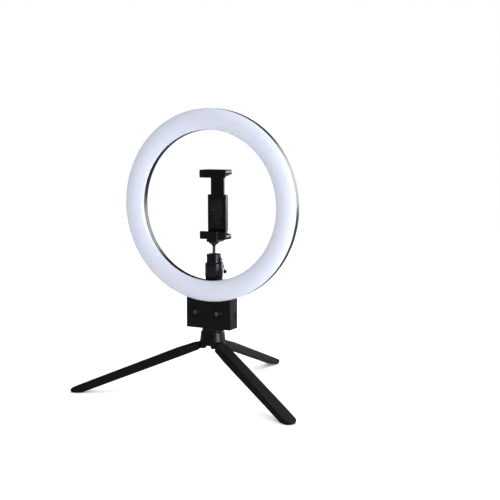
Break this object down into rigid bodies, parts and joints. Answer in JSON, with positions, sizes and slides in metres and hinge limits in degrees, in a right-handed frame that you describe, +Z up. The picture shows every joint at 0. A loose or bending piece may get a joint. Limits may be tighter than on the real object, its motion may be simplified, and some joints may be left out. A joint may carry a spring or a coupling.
{
  "type": "ring light",
  "caption": "Table-top ring light on a push-button control box and folding tripod, with a ball head and a sprung phone clamp standing inside the ring.",
  "frame": {"origin": "on the floor, at the centre of the footprint of the spread stand and the ring", "axes": "+Z up; the light shines towards -Y; +X is to the right of a person who looks at the front of the light"},
  "size_m": [0.3426, 0.3025, 0.3864],
  "materials": {
    "black_plastic": "fine satin texture",
    "grained_plastic": "coarse matte grain",
    "milky_diffuser": "smooth, milky and translucent",
    "rubber": "matte",
    "anodised_aluminium": "black anodised, satin",
    "chrome": "polished",
    "bright_steel": "turned, bright",
    "dark_steel": "blackened",
    "brass": "turned",
    "nylon": "moulded",
    "circuit_board": "solder mask",
    "led_board": "white solder mask with phosphor chips",
    "lead_sleeve": "soft insulation"
  },
  "bodies": {
    "stand": {"tripod_hub": "black_plastic", "hub_pad": "rubber", "tripod_stud": "bright_steel", "leg_pin_left": "bright_steel", "leg_pin_right": "bright_steel", "leg_pin_rear": "bright_steel"},
    "leg_left": {"leg_left": "grained_plastic", "foot_pad_left": "rubber"},
    "leg_right": {"leg_right": "grained_plastic", "foot_pad_right": "rubber"},
    "leg_rear": {"leg_rear": "grained_plastic", "foot_pad_rear": "rubber"},
    "head": {"box_front_cover": "black_plastic", "box_rear_cover": "black_plastic", "driver_board": "circuit_board", "power_socket": "dark_steel", "ring_lead": "lead_sleeve", "tripod_insert": "brass", "box_screw_1": "dark_steel", "box_screw_2": "dark_steel", "box_screw_3": "dark_steel", "box_screw_4": "dark_steel", "ring_mount_screw_1": "dark_steel", "ring_mount_screw_2": "dark_steel", "ring_diffuser": "milky_diffuser", "ring_back_shell": "black_plastic", "led_board": "led_board", "ring_screw_1": "dark_steel", "ring_screw_2": "dark_steel", "ring_screw_3": "dark_steel", "ring_screw_4": "dark_steel", "ring_screw_5": "dark_steel", "ring_screw_6": "dark_steel", "head_stud": "bright_steel", "ball_housing": "anodised_aluminium", "ball_cup": "nylon"},
    "power_button": {"power_button": "black_plastic"},
    "mode_button": {"mode_button": "black_plastic"},
    "lock_wheel": {"head_lock_wheel": "anodised_aluminium"},
    "lock_lever": {"lever_arm": "chrome", "lever_grip": "black_plastic", "lock_screw": "bright_steel"},
    "ball": {"ball": "chrome"},
    "stem": {"ball_stem": "chrome"},
    "clamp": {"clamp_base": "black_plastic", "clamp_back_cover": "black_plastic", "lower_jaw_pad": "rubber", "spine_pad": "rubber", "clamp_nut": "brass", "clamp_spring_left": "bright_steel", "clamp_spring_right": "bright_steel", "clamp_screw_1": "dark_steel", "clamp_screw_2": "dark_steel", "clamp_screw_3": "dark_steel", "clamp_screw_4": "dark_steel"},
    "jaw": {"clamp_slider": "black_plastic", "upper_jaw_pad": "rubber"}
  },
  "joints": [
    {"name": "leg_left_fold", "type": "hinge", "parent": "stand", "child": "leg_left", "pos_m": [-0.00965, -0.04972, 0.06596], "axis": [0.4787, -0.878, 0], "range_deg": [0, 67]},
    {"name": "leg_right_fold", "type": "hinge", "parent": "stand", "child": "leg_right", "pos_m": [0.01373, -0.05029, 0.06596], "axis": [0.521, 0.8536, 0], "range_deg": [0, 67]},
    {"name": "leg_rear_fold", "type": "hinge", "parent": "stand", "child": "leg_rear", "pos_m": [0.00254, -0.02976, 0.06596], "axis": [-0.9997, 0.0244, 0], "range_deg": [0, 67]},
    {"name": "head_turn", "type": "hinge", "parent": "stand", "child": "head", "pos_m": [0.00221, -0.04326, 0.0889], "axis": [0, 0, 1], "range_deg": [-90, 90]},
    {"name": "power_press", "type": "slide", "parent": "head", "child": "power_button", "axis": [0, 1, 0], "range_m": [0, 0.0008], "stiffness_N_per_m": 400, "springref_m": -0.0005},
    {"name": "mode_press", "type": "slide", "parent": "head", "child": "mode_button", "axis": [0, 1, 0], "range_m": [0, 0.0008], "stiffness_N_per_m": 400, "springref_m": -0.0005},
    {"name": "lock_wheel_turn", "type": "hinge", "parent": "head", "child": "lock_wheel", "pos_m": [0.00221, -0.03886, 0.1572], "axis": [0, 0, 1], "continuous": true},
    {"name": "lock_lever_swing", "type": "hinge", "parent": "head", "child": "lock_lever", "pos_m": [0.01431, -0.03886, 0.18046], "axis": [1, 0, 0], "range_deg": [0, 120]},
    {"name": "ball_pan", "type": "hinge", "parent": "head", "child": "ball", "pos_m": [0.00221, -0.03886, 0.18266], "axis": [0, 0, 1], "continuous": true},
    {"name": "ball_tilt", "type": "hinge", "parent": "ball", "child": "stem", "pos_m": [0.00221, -0.03886, 0.18266], "axis": [1, 0, 0], "range_deg": [-35, 35]},
    {"name": "clamp_turn", "type": "hinge", "parent": "stem", "child": "clamp", "pos_m": [0.00221, -0.03886, 0.20596], "axis": [0, 0, 1], "range_deg": [-90, 90]},
    {"name": "jaw_slide", "type": "slide", "parent": "clamp", "child": "jaw", "axis": [0, 0, 1], "range_m": [-0.021, 0.009], "stiffness_N_per_m": 150, "deforming": ["clamp_spring_left", "clamp_spring_right"]}
  ]
}
